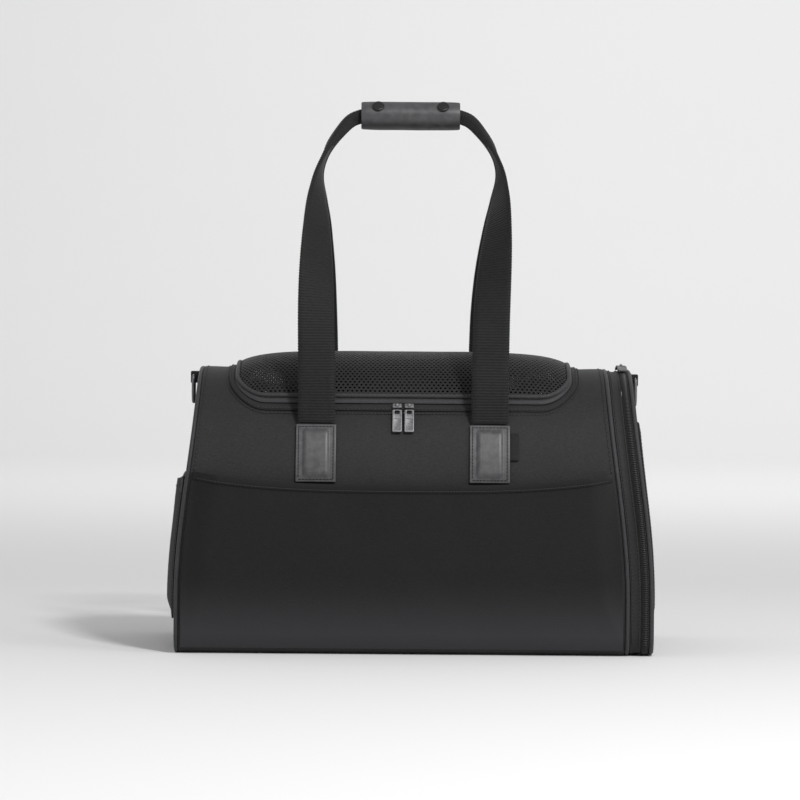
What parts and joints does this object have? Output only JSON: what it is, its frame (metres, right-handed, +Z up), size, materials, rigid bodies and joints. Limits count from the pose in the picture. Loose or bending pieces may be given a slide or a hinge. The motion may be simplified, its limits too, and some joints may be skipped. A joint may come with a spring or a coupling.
{
  "type": "pet carrier bag",
  "caption": "Soft-sided pet carrier bag with a domed mesh lid, a zipped end door, slip pockets and two webbing handles joined by a leather grip.",
  "frame": {"origin": "on the floor, under the middle of the front panel, on the underside of the bag", "axes": "+Z up, +X towards the door end, -Y the front with the wide slip pocket"},
  "size_m": [0.4575, 0.2788, 0.513],
  "materials": {
    "nylon": "tight matt woven nylon",
    "pocket_nylon": "tight matt woven nylon, darker",
    "open_mesh": "open hexagonal knitted mesh",
    "webbing": "ribbed woven webbing",
    "black_leather": "smooth black leather, soft sheen",
    "zip_tape": "woven zip tape and binding",
    "gunmetal": "satin dark plated zinc",
    "fleece": "short pile fleece",
    "board": "matt stiffener board"
  },
  "bodies": {
    "carrier": {"main_panel": "nylon", "back_panel": "nylon", "bottom_panel": "nylon", "base_board": "board", "pet_bed": "fleece", "left_end_panel": "nylon", "left_end_pocket": "nylon", "left_base_tab": "zip_tape", "left_piping": "zip_tape", "right_piping": "zip_tape", "right_gusset": "nylon", "door_zip_tape_body": "zip_tape", "lid_zip_tape_body": "zip_tape", "front_pocket": "pocket_nylon", "trolley_sleeve": "nylon", "strap_patch_front_left": "black_leather", "strap_patch_front_right": "black_leather", "strap_patch_back_left": "black_leather", "strap_patch_back_right": "black_leather", "side_tag": "zip_tape", "left_ring_tab": "zip_tape"},
    "lid": {"lid_mesh": "open_mesh", "lid_binding": "zip_tape", "lid_zip_tape": "zip_tape"},
    "lid_slider_left": {"lid_slider_left": "gunmetal"},
    "lid_slider_right": {"lid_slider_right": "gunmetal"},
    "lid_pull_left": {"lid_pull_left": "gunmetal"},
    "lid_pull_right": {"lid_pull_right": "gunmetal"},
    "door": {"door_panel": "nylon", "door_window_mesh": "open_mesh", "door_zip_tape": "zip_tape", "right_ring_tab": "zip_tape"},
    "door_flap": {"door_flap": "nylon", "door_flap_tab": "zip_tape"},
    "door_slider_front": {"door_slider_front": "gunmetal"},
    "door_slider_back": {"door_slider_back": "gunmetal"},
    "door_pull_front": {"door_pull_front": "gunmetal"},
    "door_pull_back": {"door_pull_back": "gunmetal"},
    "left_ring": {"left_ring": "gunmetal"},
    "right_ring": {"right_ring": "gunmetal"},
    "front_handle": {"front_handle": "webbing", "grip_front": "black_leather"},
    "back_handle": {"back_handle": "webbing", "grip_back": "black_leather"},
    "grip_flap": {"grip_flap": "black_leather", "snap_cap_left": "gunmetal", "snap_cap_right": "gunmetal"}
  },
  "joints": [
    {"name": "lid_hinge", "type": "hinge", "parent": "carrier", "child": "lid", "pos_m": [0, 0.0941, 0.2325], "axis": [-1, 0, 0], "range_deg": [0, 55]},
    {"name": "lid_slider_left_slide", "type": "slide", "parent": "carrier", "child": "lid_slider_left", "axis": [-1, 0, 0], "range_m": [0, 0.048]},
    {"name": "lid_slider_right_slide", "type": "slide", "parent": "carrier", "child": "lid_slider_right", "axis": [1, 0, 0], "range_m": [0, 0.048]},
    {"name": "lid_pull_left_hinge", "type": "hinge", "parent": "lid_slider_left", "child": "lid_pull_left", "pos_m": [-0.0056, -0.10337, 0.22511], "axis": [-1, 0, 0], "range_deg": [0, 120]},
    {"name": "lid_pull_right_hinge", "type": "hinge", "parent": "lid_slider_right", "child": "lid_pull_right", "pos_m": [0.0056, -0.10337, 0.22511], "axis": [-1, 0, 0], "range_deg": [0, 120]},
    {"name": "door_hinge", "type": "hinge", "parent": "carrier", "child": "door", "pos_m": [0.2325, 0, 0.0015], "axis": [0, 1, 0], "range_deg": [0, 85]},
    {"name": "door_flap_hinge", "type": "hinge", "parent": "door", "child": "door_flap", "pos_m": [0.21806, 0, 0.214], "axis": [0, -1, 0], "range_deg": [0, 120]},
    {"name": "door_slider_front_slide", "type": "slide", "parent": "carrier", "child": "door_slider_front", "axis": [0, -0.9945, -0.1045], "range_m": [0, 0.032]},
    {"name": "door_slider_back_slide", "type": "slide", "parent": "carrier", "child": "door_slider_back", "axis": [0, 0.9945, -0.1045], "range_m": [0, 0.032]},
    {"name": "door_pull_front_hinge", "type": "hinge", "parent": "door_slider_front", "child": "door_pull_front", "pos_m": [0.20571, -0.011, 0.2646], "axis": [-1, 0, 0], "range_deg": [0, 120]},
    {"name": "door_pull_back_hinge", "type": "hinge", "parent": "door_slider_back", "child": "door_pull_back", "pos_m": [0.20571, 0.011, 0.2646], "axis": [1, 0, 0], "range_deg": [0, 120]},
    {"name": "left_ring_hinge", "type": "hinge", "parent": "carrier", "child": "left_ring", "pos_m": [-0.198, 0, 0.252], "axis": [0, 1, 0], "range_deg": [0, 100]},
    {"name": "right_ring_hinge", "type": "hinge", "parent": "door", "child": "right_ring", "pos_m": [0.219, 0, 0.252], "axis": [0, -1, 0], "range_deg": [0, 100]},
    {"name": "front_handle_hinge", "type": "hinge", "parent": "carrier", "child": "front_handle", "pos_m": [0, -0.1112, 0.2135], "axis": [1, 0, 0], "range_deg": [0, 130]},
    {"name": "back_handle_hinge", "type": "hinge", "parent": "carrier", "child": "back_handle", "pos_m": [0, 0.1112, 0.2135], "axis": [-1, 0, 0], "range_deg": [0, 130]},
    {"name": "grip_flap_hinge", "type": "hinge", "parent": "front_handle", "child": "grip_flap", "pos_m": [0.005, -0.00784, 0.48643], "axis": [1, 0, 0], "range_deg": [0, 140]}
  ]
}
